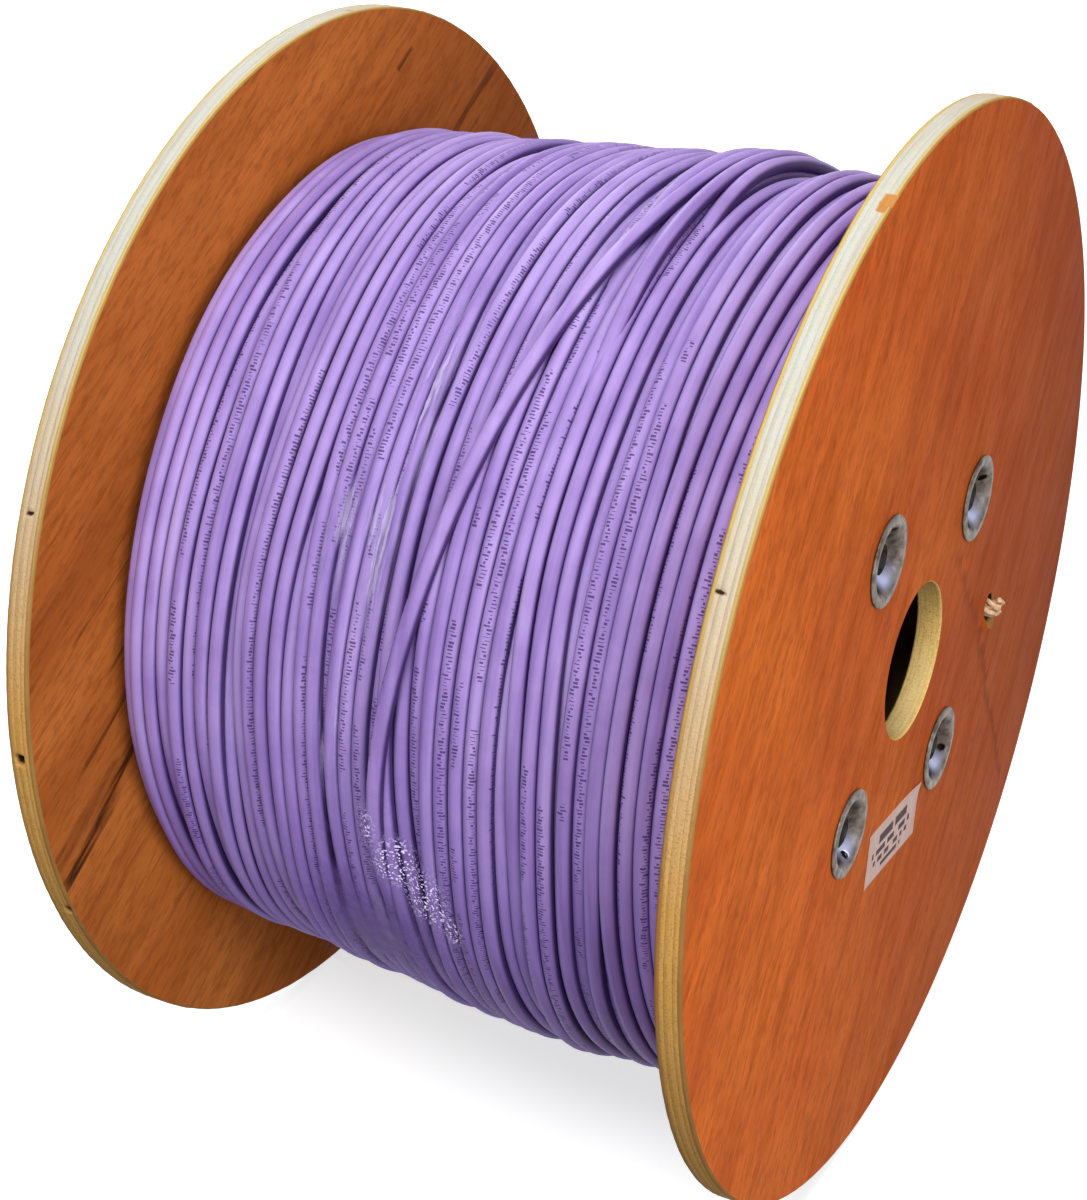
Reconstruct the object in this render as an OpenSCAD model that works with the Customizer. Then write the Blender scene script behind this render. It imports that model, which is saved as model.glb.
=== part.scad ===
// Cable reel: two plywood flanges pulled against a hollow core by four tie rods, wound with data cable.
// The reel's axis is X and it stands on its rims, with +Z up and -Y to the front.
// The origin is the middle of the axle bore, and the near flange, with the label, is at +X.

/* [Flanges] */
// Diameter of the flanges
flange_d = 380; // [340:1:600]
// Thickness of the plywood
flange_t = 9; // [8:0.5:18]
// Chamfer on the edges of the flanges
flange_ease = 0.8; // [0.2:0.1:2]
// Diameter of the axle bore
axle_d = 55; // [20:0.5:60]

/* [Core] */
// Distance between the flanges
inside_w = 217; // [150:1:400]
// Outside diameter of the core tube
core_d = 165; // [155:1:200]
// Wall of the core tube
core_wall = 6; // [2:0.5:8]

/* [Tie rods and nuts] */
// Diameter of the tie rods
rod_d = 6; // [4:0.5:8]
// Gap between a tie rod and the inside of the core
rod_to_core = 6.5; // [2:0.5:10]
// Place of the first tie rod round the axis, in degrees
rod_angle = 33.4; // [0:0.1:90]
// Width of the nuts across their flats
nut_flats = 10; // [9:0.5:14]
// Height of the nuts
nut_h = 3.2; // [2:0.1:4]
// Depth of the nuts' faces below the faces of the flanges
nut_sunk = 1.8; // [0:0.1:2]
// Length of rod that stands past a nut
rod_past = 0.6; // [0.5:0.1:1.5]

/* [Dished washers] */
// Diameter of the washers
washer_d = 31; // [30:1:36]
// Width of the flat rim of a washer
washer_rim = 3; // [2:0.5:4]
// Thickness of the pressed steel
washer_t = 1.2; // [0.8:0.1:1.5]
// Diameter of the two nail holes in a washer
nail_d = 2.5; // [1.5:0.1:3]

/* [Cable] */
// Outside diameter of the cable
cable_d = 5.5; // [4:0.1:10]
// Depth of the winding where it meets the far flange
wound_far = 59; // [40:1:80]
// Width of the shoulder over which the winding rises from the far flange
shoulder_w = 11; // [5:1:30]
// Depth of the winding past that shoulder
wound_shoulder = 66; // [40:1:80]
// Depth of the winding at its crown
wound_crown = 77; // [40:1:85]
// Place of the crown along the axis
crown_at = 42; // [-20:1:60]
// Depth of the winding where it meets the near flange
wound_near = 73; // [40:1:80]

/* [Start of the cable] */
// Gap between the core and the start of the cable
start_lift = 3; // [2.5:0.1:12]
// Place of the start round the axis, in degrees
start_angle = -14; // [-30:0.5:5]
// Room round the cable in its hole
start_room = 2; // [0.5:0.1:4]
// Length of the start that stands out of the near flange
start_proud = 9; // [2:0.5:20]

/* [Film] */
// Width of the clear film band
film_w = 65; // [20:1:80]
// Place of the band's middle along the axis
film_at = -7; // [-30:1:30]
// Thickness of the layers of film together
film_t = 0.3; // [0.2:0.05:1]

/* [Label] */
// Length of the label
label_l = 51; // [20:0.5:54]
// Height of the label
label_h = 20.5; // [10:0.5:24]
// Thickness of the label
label_t = 0.3; // [0.2:0.05:1]
// Distance of the label's middle from the reel's axis
label_r = 67; // [64:0.5:150]
// Place of the label round the axis, in degrees
label_angle = -97.5; // [-104:0.1:-96]
// Turn of the label in its own plane, in degrees
label_turn = -7.6; // [-15:0.1:5]

/* [Hidden] */
$fa = 2;
$fs = 0.5;

// Tie rods round the axis, and the two sides of the reel
rod_count = 4;
SIDES = ["near", "far"];

// Clearances: round curved faces, on a thread, round a nut and beside the film
turned_gap = 0.3;
thread_gap = 0.2;
nut_room = 2.2;
film_gap = 0.3;

// Outer radii, and the planes of the inner and outer faces of the near flange
flange_r = flange_d / 2;
axle_r = axle_d / 2;
core_r = core_d / 2;
wall_x = inside_w / 2;
face_x = wall_x + flange_t;

// How far a cutter runs past the faces that it cuts, and its length through a flange
over = 1;
through = flange_t + 2 * over;

// Tie rods: their circle inside the core, their reach, and the chamfer on their ends
rod_circle_r = core_r - core_wall - rod_to_core - rod_d / 2;
rod_reach = face_x - nut_sunk + rod_past;
rod_tip = rod_past;
rod_hole_r = rod_d / 2 + turned_gap;
nut_corner_r = nut_flats / 2 / cos(30);
nut_chamfer = (nut_corner_r - nut_flats / 2) * tan(30);

// Dished washers: a flat rim, a conical wall of even thickness and a flat floor under the nut
dish_depth = nut_h + nut_sunk;
dish_floor_r = nut_corner_r + nut_room;
dish_mouth_r = washer_d / 2 - washer_rim;
dish_lean = (dish_mouth_r - dish_floor_r) / (dish_depth + washer_t);
dish_wall = washer_t * sqrt(1 + dish_lean * dish_lean);
dish_under_r = dish_floor_r + dish_wall - washer_t * dish_lean;
dish_under_mouth_r = dish_mouth_r + dish_wall - washer_t * dish_lean;
washer_ease = washer_t / 2;
nail_r = (dish_floor_r + dish_mouth_r) / 2;
washer_step = 50;

// Winding: depth over the core at places along the axis, and the turns of its outer layer
wound_profile = [
    [-wall_x, wound_far],
    [-wall_x + shoulder_w, wound_shoulder],
    [crown_at, wound_crown],
    [wall_x, wound_near]
];
turns = floor(inside_w / cable_d);
turn_pitch = inside_w / turns;
turn_x = [for (i = [0 : turns - 1]) (i + 0.5) * turn_pitch - wall_x];
valley_share = 0.3;
valley_depth = valley_share * cable_d;

// Start of the cable and its hole
start_r = core_r + start_lift + cable_d / 2;
start_hole_r = cable_d / 2 + start_room;

// Film: the places along the axis where its section bends
film_lo = film_at - film_w / 2;
film_hi = film_at + film_w / 2;
film_bends = [for (p = wound_profile) if (p.x > film_lo && p.x < film_hi) p.x];
film_x = concat([film_lo], film_bends, [film_hi]);

// Outer radius of the winding at a place along the axis
function wound_r(x) = core_r + lookup(x, wound_profile);

// Turn of a washer about its own rod, so that no two pairs of nail holes line up
function washer_turn(i) = washer_step * i;

// A solid turned about the X axis from a section of [radius, place along the axis]
module turned() {
    rotate([0, 90, 0]) rotate_extrude() children();
}

// A round bar along +X, from the given place
module bar(r, from, length) {
    translate([from, 0, 0]) rotate([0, 90, 0]) cylinder(r = r, h = length);
}

// Children are placed on one of the tie rods
module at_rod(i) {
    rotate([rod_angle + i * 360 / rod_count, 0, 0]) translate([0, rod_circle_r, 0]) children();
}

// Children are placed at the start of the cable
module at_start() {
    rotate([start_angle, 0, 0]) translate([0, start_r, 0]) children();
}

// Children are made for the near side, and mirrored for the far one
module on_side(side) {
    if (side == "far") mirror([1, 0, 0]) children();
    else children();
}

// Seat of a dished washer in the wood, with the hole for its rod
module washer_seat() {
    seat_depth = dish_depth + washer_t + turned_gap;
    bar(rod_hole_r, wall_x - over, through);
    translate([face_x - seat_depth, 0, 0]) rotate([0, 90, 0])
        cylinder(h = seat_depth, r1 = dish_under_r + turned_gap, r2 = dish_under_mouth_r + turned_gap);
}

// Plywood disc of the near side, without the hole for the cable
module flange_disc() {
    difference() {
        turned() polygon([
            [axle_r, wall_x],
            [flange_r - flange_ease, wall_x],
            [flange_r, wall_x + flange_ease],
            [flange_r, face_x - flange_ease],
            [flange_r - flange_ease, face_x],
            [axle_r, face_x]
        ]);
        for (i = [1 : rod_count]) at_rod(i) washer_seat();
    }
}

module near_flange() {
    color([0.75, 0.40, 0.22]) difference() {
        flange_disc();
        at_start() bar(start_hole_r, wall_x - over, through);
    }
}

module far_flange() {
    color([0.68, 0.40, 0.25]) on_side("far") flange_disc();
}

module core_tube() {
    color([0.62, 0.48, 0.33]) turned()
        translate([core_r - core_wall, -wall_x]) square([core_wall, inside_w]);
}

module tie_rod(i) {
    color([0.62, 0.62, 0.64]) at_rod(i) turned() polygon([
        [0, -rod_reach],
        [rod_d / 2 - rod_tip, -rod_reach],
        [rod_d / 2, -rod_reach + rod_tip],
        [rod_d / 2, rod_reach - rod_tip],
        [rod_d / 2 - rod_tip, rod_reach],
        [0, rod_reach]
    ]);
}

module washer(side, i) {
    color([0.72, 0.72, 0.74]) on_side(side) at_rod(i) rotate([washer_turn(i), 0, 0])
        difference() {
            translate([face_x, 0, 0]) turned() polygon([
                [rod_hole_r, -dish_depth],
                [dish_floor_r, -dish_depth],
                [dish_mouth_r, washer_t],
                [washer_d / 2 - washer_ease, washer_t],
                [washer_d / 2, washer_t - washer_ease],
                [washer_d / 2, 0],
                [dish_under_mouth_r, 0],
                [dish_under_r, -dish_depth - washer_t],
                [rod_hole_r, -dish_depth - washer_t]
            ]);
            for (place = [-nail_r, nail_r])
                translate([0, place, 0]) bar(nail_d / 2, wall_x, through);
        }
}

module nut(side, i) {
    color([0.55, 0.55, 0.57]) on_side(side) at_rod(i) translate([face_x - dish_depth, 0, 0])
        difference() {
            intersection() {
                rotate([0, 90, 0]) cylinder(r = nut_corner_r, h = nut_h, $fn = 6);
                turned() polygon([
                    [0, 0],
                    [nut_corner_r, 0],
                    [nut_corner_r, nut_h - nut_chamfer],
                    [nut_flats / 2, nut_h],
                    [0, nut_h]
                ]);
            }
            bar(rod_d / 2 + thread_gap, -over, nut_h + 2 * over);
        }
}

module cable_winding() {
    bore_r = core_r + turned_gap;
    color([0.62, 0.52, 0.78]) turned() {
        polygon(concat(
            [[bore_r, -wall_x]],
            [for (p = wound_profile) [wound_r(p.x) - valley_depth, p.x]],
            [[bore_r, wall_x]]
        ));
        for (x = turn_x) translate([wound_r(x) - cable_d / 2, x]) circle(d = cable_d);
    }
}

module cable_start() {
    color([0.86, 0.70, 0.58]) at_start() bar(cable_d / 2, wall_x, flange_t + start_proud);
}

module film_band() {
    inner = [for (x = film_x) [wound_r(x) + film_gap, x]];
    outer = [for (i = [len(film_x) - 1 : -1 : 0]) [wound_r(film_x[i]) + film_gap + film_t, film_x[i]]];
    color([0.90, 0.88, 0.95, 0.3]) turned() polygon(concat(inner, outer));
}

module label() {
    color([0.92, 0.84, 0.82])
        translate([face_x, label_r * cos(label_angle), label_r * sin(label_angle)])
        rotate([label_turn, 0, 0]) translate([0, -label_l / 2, -label_h / 2])
        cube([label_t, label_l, label_h]);
}

near_flange();
far_flange();
core_tube();
for (i = [1 : rod_count]) {
    tie_rod(i);
    for (side = SIDES) {
        washer(side, i);
        nut(side, i);
    }
}
cable_winding();
cable_start();
film_band();
label();
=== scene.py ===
import math

import bmesh
import bpy
import numpy as np
from mathutils import Matrix, Vector, noise


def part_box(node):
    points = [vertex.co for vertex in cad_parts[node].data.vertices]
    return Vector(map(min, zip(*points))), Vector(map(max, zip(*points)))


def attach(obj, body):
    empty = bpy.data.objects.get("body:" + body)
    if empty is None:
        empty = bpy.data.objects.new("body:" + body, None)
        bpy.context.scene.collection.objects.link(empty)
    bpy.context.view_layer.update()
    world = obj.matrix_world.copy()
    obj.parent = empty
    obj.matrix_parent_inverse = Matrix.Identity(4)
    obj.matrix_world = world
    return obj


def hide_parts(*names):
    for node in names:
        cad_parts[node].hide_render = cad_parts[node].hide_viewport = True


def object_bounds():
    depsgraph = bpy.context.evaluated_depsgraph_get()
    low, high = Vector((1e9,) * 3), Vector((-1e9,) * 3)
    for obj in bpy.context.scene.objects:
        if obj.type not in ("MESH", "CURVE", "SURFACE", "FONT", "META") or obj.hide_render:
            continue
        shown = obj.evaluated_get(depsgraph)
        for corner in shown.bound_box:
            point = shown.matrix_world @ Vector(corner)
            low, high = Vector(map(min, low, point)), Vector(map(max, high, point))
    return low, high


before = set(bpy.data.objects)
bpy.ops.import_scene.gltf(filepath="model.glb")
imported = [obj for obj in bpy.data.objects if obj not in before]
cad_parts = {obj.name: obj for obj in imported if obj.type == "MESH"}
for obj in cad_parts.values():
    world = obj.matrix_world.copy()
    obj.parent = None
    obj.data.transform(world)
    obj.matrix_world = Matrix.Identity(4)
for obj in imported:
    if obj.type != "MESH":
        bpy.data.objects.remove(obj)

cad_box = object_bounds()

# Camera: it stands to the right of the reel's front and looks down on it, level across the picture.
# Its place is measured from the middle of the axle bore, where the reel's axis crosses its middle.
camera_place = (0.3361, -0.6977, 0.4248)
camera_azimuth = math.radians(27.32)
camera_elevation = math.radians(29.12)
camera_lens_mm = 73.74
camera_near = 0.01
camera = bpy.data.objects.new("camera", bpy.data.cameras.new("camera"))
camera.data.lens = camera_lens_mm
camera.data.clip_start = camera_near
camera.location = camera_place
camera.rotation_euler = (math.pi / 2 - camera_elevation, 0, camera_azimuth)
bpy.context.scene.collection.objects.link(camera)
bpy.context.scene.camera = camera
bpy.context.scene.view_settings.view_transform = "Standard"


# Studio: a plain white floor under the rims, a white surround and four large soft lamps.
# The floor glows where it is seen, straight or mirrored, so it is near white and keeps the reel's shadow.
def feed(tree, socket, value):
    """Gives an input its value, or links the socket that feeds it."""
    if isinstance(value, bpy.types.NodeSocket):
        tree.links.new(value, socket)
    else:
        socket.default_value = value


def add_node(tree, kind, inputs=(), **settings):
    """Adds a node to a tree. An input is a value, or the socket that feeds it."""
    node = tree.nodes.new(kind)
    for key, value in settings.items():
        setattr(node, key, value)
    for key, value in dict(inputs).items():
        feed(tree, node.inputs[key], value)
    return node


def calc(tree, operation, *values):
    """A Math node of the given operation. Returns its result."""
    return add_node(tree, "ShaderNodeMath", enumerate(values), operation=operation).outputs[0]


def times(tree, first, second):
    """Two values multiplied."""
    return calc(tree, "MULTIPLY", first, second)


def blend_colour(tree, share, first, second):
    """The first colour turned into the second by a share of 0 to 1."""
    node = add_node(tree, "ShaderNodeMix", {0: share, 6: first, 7: second}, data_type="RGBA")
    return node.outputs[2]


def spread(tree, value, low, high, to_low=0.0, to_high=1.0):
    """A value between low and high, spread over another range and held there."""
    limits = {"From Min": low, "From Max": high, "To Min": to_low, "To Max": to_high}
    return add_node(tree, "ShaderNodeMapRange", {"Value": value, **limits}).outputs[0]


def object_place(tree):
    """The place on the object, in metres."""
    return add_node(tree, "ShaderNodeTexCoord").outputs["Object"]


def seen_directly(tree):
    """1 for rays from the camera, and for mirrored and transmitted ones."""
    path = add_node(tree, "ShaderNodeLightPath").outputs
    mirrored = calc(tree, "MAXIMUM", path["Is Glossy Ray"], path["Is Transmission Ray"])
    return calc(tree, "MAXIMUM", path["Is Camera Ray"], mirrored)


def new_finish(name):
    """A new material with a Principled shader. Returns it with its node tree."""
    material = bpy.data.materials.new(name)
    material.use_nodes = True
    return material, material.node_tree


def add_piece(name, bm, *materials):
    """A new object with the bmesh as its mesh, and its materials."""
    mesh = bpy.data.meshes.new(name)
    bm.to_mesh(mesh)
    bm.free()
    for material in materials:
        mesh.materials.append(material)
    piece = bpy.data.objects.new(name, mesh)
    bpy.context.scene.collection.objects.link(piece)
    return piece


floor_half = 6.0
floor_seen = (0.57, 0.57, 0.57, 1)
floor_bounce = (0.15, 0.15, 0.15, 1)
floor_glow = 0.70
shadow_reach = (0.7, 2.0)
surround_white = (1, 1, 1, 1)
ambient_level, seen_level = 0.15, 1.0
# Lamps: place, width and power
lamps = {
    "key_lamp": ((0.25, -1.40, 2.10), 1.0, 57.5),
    "side_lamp": ((1.25, -0.85, 0.55), 0.8, 12.5),
    "top_lamp": ((-0.3, 0.4, 2.3), 1.6, 10.0),
    "back_lamp": ((-1.5, 1.3, 1.2), 1.2, 26.0),
}

floor_finish, tree = new_finish("white_floor")
tree.nodes.clear()
seen = seen_directly(tree)
matt = add_node(tree, "ShaderNodeBsdfDiffuse", {"Color": blend_colour(tree, seen, floor_bounce, floor_seen)})
away = add_node(tree, "ShaderNodeVectorMath", {0: object_place(tree)}, operation="LENGTH").outputs["Value"]
level = spread(tree, away, *shadow_reach, floor_glow, 1.0)
glow = add_node(tree, "ShaderNodeEmission", {"Strength": times(tree, seen, level)})
added = add_node(tree, "ShaderNodeAddShader", {0: matt.outputs[0], 1: glow.outputs[0]})
add_node(tree, "ShaderNodeOutputMaterial", {"Surface": added.outputs[0]})

bm = bmesh.new()
bmesh.ops.create_grid(bm, x_segments=1, y_segments=1, size=floor_half,
                      matrix=Matrix.Translation((0, 0, cad_box[0].z)))
floor = add_piece("floor", bm, floor_finish)

surround = bpy.data.worlds.new("white_surround")
surround.use_nodes = True
tree = surround.node_tree
tree.nodes.clear()
ambient, white = (
    add_node(tree, "ShaderNodeBackground", {"Color": surround_white, "Strength": strength}).outputs[0]
    for strength in (ambient_level, seen_level)
)
mixed = add_node(tree, "ShaderNodeMixShader", {0: seen_directly(tree), 1: ambient, 2: white})
add_node(tree, "ShaderNodeOutputWorld", {"Surface": mixed.outputs[0]})
bpy.context.scene.world = surround

for name, (place, width, power) in lamps.items():
    lamp = bpy.data.objects.new(name, bpy.data.lights.new(name, "AREA"))
    lamp.data.size = width
    lamp.data.energy = power
    lamp.location = place
    lamp.rotation_euler = (-Vector(place)).to_track_quat("-Z", "Y").to_euler()
    bpy.context.scene.collection.objects.link(lamp)


# Core: a hollow tube of spirally wound board, clamped between the flanges. The cable is wound on it.
# Only its dark inside shows, through the axle bore.
def set_surface(tree, colour, roughness, specular, **others):
    """Gives a finish its colour, roughness and specular level, and other inputs of its shader by name."""
    inputs = {"Base Color": colour, "Roughness": roughness, "Specular IOR Level": specular, **others}
    for key, value in inputs.items():
        feed(tree, tree.nodes["Principled BSDF"].inputs[key], value)


def bumped(tree, height, strength, depth):
    """The normal of a surface that rises by a height of 0 to 1 times a depth in metres."""
    inputs = {"Strength": strength, "Distance": depth, "Height": height}
    return add_node(tree, "ShaderNodeBump", inputs).outputs[0]


def split(tree, vector):
    """The X, Y and Z of a vector."""
    return add_node(tree, "ShaderNodeSeparateXYZ", {0: vector}).outputs


def new_group(name, inputs, outputs):
    """A shader node group with float inputs, or vector ones where None is given, and float outputs.
    Returns it with its two end nodes."""
    group = bpy.data.node_groups.new(name, "ShaderNodeTree")
    for key, value in inputs.items():
        kind = "NodeSocketVector" if value is None else "NodeSocketFloat"
        socket = group.interface.new_socket(key, in_out="INPUT", socket_type=kind)
        if value is not None:
            socket.default_value = value
    for key in outputs:
        group.interface.new_socket(key, in_out="OUTPUT", socket_type="NodeSocketFloat")
    return group, group.nodes.new("NodeGroupInput"), group.nodes.new("NodeGroupOutput")


# Cloudy, uneven colour as on handled surfaces: slow patches and fine specks, each with the input that sets
# its fineness, its detail and roughness, and the part of the noise that is used
mottle_noise = {"Patches": ("Patch", 3.0, 0.6, 0.32, 0.68), "Specks": ("Speck", 2.0, 0.7, 0.35, 0.65)}
mottle, given, made = new_group("mottle", {"Vector": None, "Patch": 30.0, "Speck": 900.0}, mottle_noise)
for result, (fineness, detail, rough, low, high) in mottle_noise.items():
    inputs = {"Vector": given.outputs["Vector"], "Scale": given.outputs[fineness]}
    clouds = add_node(mottle, "ShaderNodeTexNoise", {**inputs, "Detail": detail, "Roughness": rough})
    feed(mottle, made.inputs[result], spread(mottle, clouds.outputs[0], low, high))


def mottled(tree, place, patch, speck):
    """Patches and specks of the given fineness."""
    inputs = {"Vector": place, "Patch": patch, "Speck": speck}
    return add_node(tree, "ShaderNodeGroup", inputs, node_tree=mottle).outputs


board_light = (0.30, 0.19, 0.10, 1)
board_dark = (0.17, 0.10, 0.05, 1)
board_ply_pitch, board_seam = 0.06, 0.02
board_finish, tree = new_finish("wound_board")
place = object_place(tree)
patches = mottled(tree, place, 40.0, 1500.0)
axes = split(tree, place)
round_turn = calc(tree, "DIVIDE", calc(tree, "ARCTAN2", axes["Z"], axes["Y"]), 2 * math.pi)
spiral = calc(tree, "ADD", calc(tree, "DIVIDE", axes["X"], board_ply_pitch), round_turn)
seam = calc(tree, "LESS_THAN", calc(tree, "FRACT", spiral), board_seam)
tone = blend_colour(tree, patches["Patches"], board_dark, board_light)
tone = blend_colour(tree, seam, tone, board_dark)
set_surface(tree, tone, 0.85, 0.5, Normal=bumped(tree, patches["Specks"], 0.3, 0.0003))
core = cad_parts["core_tube"]
core.data.materials.clear()
core.data.materials.append(board_finish)


# Flanges: two discs sawn from reddish plywood, with pale edges that show the plies and their gaps.
# Each has the axle bore and four sunk seats for the washers.
# The near one also has a hole for the cable's start, drilled roughly so that its face is torn.
def add_wall(bm, centre, steps, segments):
    """A wall round an axis along X through centre: a circle at the first (place, radius), extruded through
    the others. Returns the rows of vertices."""
    flat = Matrix.Translation((steps[0][0], *centre)) @ Matrix.Rotation(math.pi / 2, 4, "Y")
    row = bmesh.ops.create_circle(bm, segments=segments, radius=steps[0][1], matrix=flat)["verts"]
    rows = [row]
    to_axis = Matrix.Translation((0, -centre[0], -centre[1]))
    for (place, radius), (next_place, next_radius) in zip(steps, steps[1:]):
        grown = bmesh.ops.extrude_edge_only(bm, edges=loop_of(row))["geom"]
        row = [item for item in grown if isinstance(item, bmesh.types.BMVert)]
        widen = next_radius / radius
        bmesh.ops.scale(bm, vec=(1, widen, widen), space=to_axis, verts=row)
        bmesh.ops.translate(bm, vec=(next_place - place, 0, 0), verts=row)
        rows.append(row)
    return rows


def loop_of(row):
    """The edges between the vertices of one row."""
    members = set(row)
    edges = {edge for vert in row for edge in vert.link_edges}
    return [edge for edge in edges if edge.verts[0] in members and edge.verts[1] in members]


flange_low, flange_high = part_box("near_flange")
flange_r = flange_high.z
wall_x, face_x = flange_low.x, flange_high.x
axle_r, axle_ease, axle_segments = 0.0275, 0.0004, 128
rim_ease = ((0.0, -0.0009), (0.00025, -0.0003), (0.0008, 0.0))
glue_lines = (0.0015, 0.0031, 0.0059, 0.0075)
glue_groove = 0.00008
glue_half = 0.0001
ply_middles = (0.0023, 0.0045, 0.0067)
rim_segments = 1080
rim_ragged = 0.00016
ragged_round, ragged_deep, ragged_side, ragged_slow = 260, 900, 40, 0.08
rod_circle_r = 0.067
rod_angles = [math.radians(33.4 + 90 * i) for i in (1, 2, 3, 4)]
seat_mouth_r, seat_floor_r, seat_depth, rod_hole_r = 0.01305, 0.00905, 0.0065, 0.0033
seat_segments = 48
start_r = 0.08825
start_angle = math.radians(-14)
start_hole_r, start_ease, start_segments = 0.00475, 0.0009, 32
start_torn, start_lip, torn_from = 0.0034, 0.0022, 0.2
start_skirt_r = 0.0105
# Gaps in the plies, and a chip of a rim: angle in degrees, place in the thickness, half sizes, depth
near_gaps = (
    (147, 0.0030, 0.0009, 0.0016, 0.0009),
    (221, 0.0030, 0.0020, 0.0008, 0.0012),
    (312, 0.0045, 0.0040, 0.0012, 0.0022),
    (18, 0.0030, 0.0022, 0.0009, 0.0018),
    (262, 0.0066, 0.0026, 0.0009, 0.0014),
)
far_gaps = (
    (83, 0.0030, 0.0018, 0.0010, 0.0020),
    (155, 0.0048, 0.0011, 0.0016, 0.0016),
    (180, 0.0055, 0.0022, 0.0013, 0.0028),
    (200, 0.0022, 0.0016, 0.0011, 0.0022),
    (25, 0.0045, 0.0034, 0.0010, 0.0024),
    (328, 0.0062, 0.0020, 0.0009, 0.0018),
)
near_chips = (
    (106.6, 0.0076, 0.0030, 0.0022, 0.0007),
    (107.8, 0.0068, 0.0022, 0.0014, 0.0005),
)
# How square the outlines of gaps and chips are
gap_power, chip_power = 4, 8


def rim_steps():
    """(place, radius) of the rim's rows: eased edges, and a fine groove at each glue line."""
    thick = face_x - wall_x
    rows = list(rim_ease) + [(thick - place, drop) for place, drop in rim_ease]
    rows += [(place, 0.0) for place in ply_middles]
    for line in glue_lines:
        rows += [(line - glue_half, 0.0), (line, -glue_groove), (line + glue_half, 0.0)]
    return [(wall_x + place, flange_r + drop) for place, drop in sorted(rows)]


def hole_steps(radius, ease):
    """Rows of a plain hole with eased edges, and a row inside each to keep the wall between straight."""
    ends = ((0, ease), (ease, 0), (2 * ease, 0))
    rows = [(wall_x + place, radius + out) for place, out in ends]
    return rows + [(face_x - place, radius + out) for place, out in reversed(ends)]


def mirror_to(bm, side):
    """Turns a piece of the near side into one of the far side, where side is -1."""
    if side < 0:
        bmesh.ops.scale(bm, vec=(-1, 1, 1), verts=bm.verts)
        bmesh.ops.reverse_faces(bm, faces=bm.faces)


def build_flange(holes, gaps, chips, torn, side):
    """A flange on one side of the reel, side being 1 for the near one and -1 for the far one. Its last hole
    is torn out by some depth at its lower edge, where a splinter stands up."""
    bm = bmesh.new()
    shade_and_tear = bm.verts.layers.float.new("shade_and_tear")
    rim = add_wall(bm, (0, 0), rim_steps(), rim_segments)
    walls = [rim] + [add_wall(bm, *hole) for hole in holes]
    # Painted shade: the walls of the seats and of the start hole are marked to be painted dark.
    for vert in (vert for rows in walls[2:] for row in rows for vert in row):
        vert[shade_and_tear] = 1.0
    skirt = set(walls[-1][-1]) if torn else set()
    for vert in walls[-1][-2] if torn else ():
        vert[shade_and_tear] = -1.0
        below = max(0.0, (start_middle[1] - vert.co.z) / start_hole_r - torn_from)
        vert.co += Vector((start_lip * below, 0, -torn * below))
    edge_faces = {face for face in bm.faces if skirt.isdisjoint(face.verts)}
    for end in (0, -1):
        loops = [edge for rows in walls for edge in loop_of(rows[end])]
        bmesh.ops.triangle_fill(bm, use_beauty=True, edges=loops, normal=(1, 0, 0))
    bmesh.ops.recalc_face_normals(bm, faces=bm.faces)
    for face in bm.faces:
        face.smooth = face in edge_faces
        face.material_index = 1 if face in edge_faces else 0
    for vert in (vert for row in rim[1:-1] for vert in row):
        angle = math.atan2(vert.co.z, vert.co.y)
        depth = vert.co.x - wall_x
        grain = Vector((*(vert.co.yz * ragged_round), depth * ragged_deep + ragged_side * side))
        drop = rim_ragged * (1 + noise.noise(grain))
        drop += rim_ragged / 2 * (1 + noise.noise(grain * ragged_slow))
        # Gaps in the plies are marked to be painted dark as shade, and chips as bare torn wood.
        for marks, power in ((gaps, gap_power), (chips, chip_power)):
            for mark_angle, mark_place, half_long, half_high, mark_depth in marks:
                along = math.remainder(angle - math.radians(mark_angle), 2 * math.pi) * flange_r / half_long
                across = (depth - mark_place) / half_high
                reach = math.sqrt(max(0.0, 1 - (along ** power + across ** power)))
                drop += mark_depth * reach
                vert[shade_and_tear] = max(vert[shade_and_tear], reach) if marks is gaps else vert[shade_and_tear] - reach
        vert.co.yz *= 1 - drop / flange_r
    mirror_to(bm, side)
    return bm


bore = ((0, 0), hole_steps(axle_r, axle_ease), axle_segments)
seats = []
for angle in rod_angles:
    middle = (rod_circle_r * math.cos(angle), rod_circle_r * math.sin(angle))
    steps = [(wall_x, rod_hole_r), (face_x - seat_depth, rod_hole_r), (face_x - seat_depth, seat_floor_r),
             (face_x, seat_mouth_r)]
    seats.append((middle, steps, seat_segments))
start_middle = (start_r * math.cos(start_angle), start_r * math.sin(start_angle))
start_steps = hole_steps(start_hole_r, start_ease) + [(face_x, start_skirt_r)]
start_hole = (start_middle, start_steps, start_segments)


def mapped(tree, vector, **inputs):
    """A vector that is turned or stretched."""
    return add_node(tree, "ShaderNodeMapping", {"Vector": vector, **inputs}).outputs[0]


def stretched_noise(tree, vector, size, detail, rough):
    """Noise in a place that is first stretched by size."""
    inputs = {"Vector": mapped(tree, vector, Scale=size), "Scale": 1.0, "Detail": detail, "Roughness": rough}
    return add_node(tree, "ShaderNodeTexNoise", inputs).outputs[0]


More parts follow.
